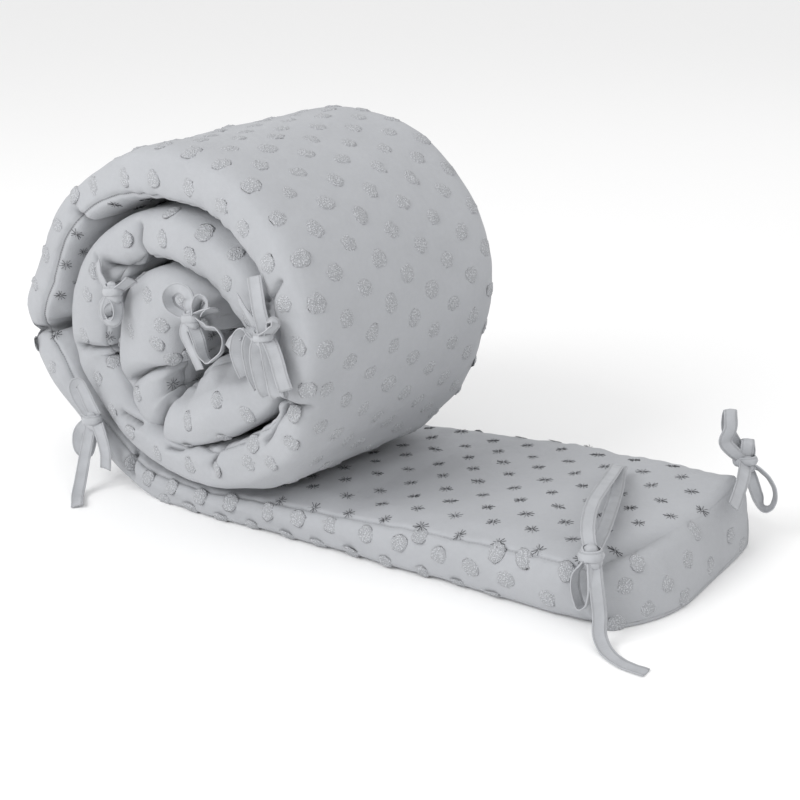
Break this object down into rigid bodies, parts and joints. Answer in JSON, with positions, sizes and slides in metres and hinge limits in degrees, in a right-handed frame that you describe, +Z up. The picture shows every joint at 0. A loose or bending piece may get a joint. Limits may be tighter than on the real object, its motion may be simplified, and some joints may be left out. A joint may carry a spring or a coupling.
{
  "type": "crib bumper",
  "caption": "Padded crib bumper strip rolled up into a loose spiral with one end left lying flat, tied ribbons along its edges.",
  "frame": {"origin": "bottom centre of the bounding box, on the surface that the bumper lies on", "axes": "+X along the flat end away from the roll, +Y along the roll's axis to its far edge, +Z up"},
  "size_m": [0.8484, 0.474, 0.4291],
  "materials": {
    "pad_cloth": "matte light grey cloth, raised fluffy dots outside and small dark stitched stars inside",
    "tie_cloth": "matte light grey cloth ribbon with a stitched edge"
  },
  "bodies": {
    "root": {"bumper_pad": "pad_cloth", "tie_flat_near": "tie_cloth", "tie_flat_far": "tie_cloth", "tie_left_low": "tie_cloth", "tie_left_high": "tie_cloth", "tie_centre": "tie_cloth", "tie_right": "tie_cloth"}
  },
  "joints": []
}
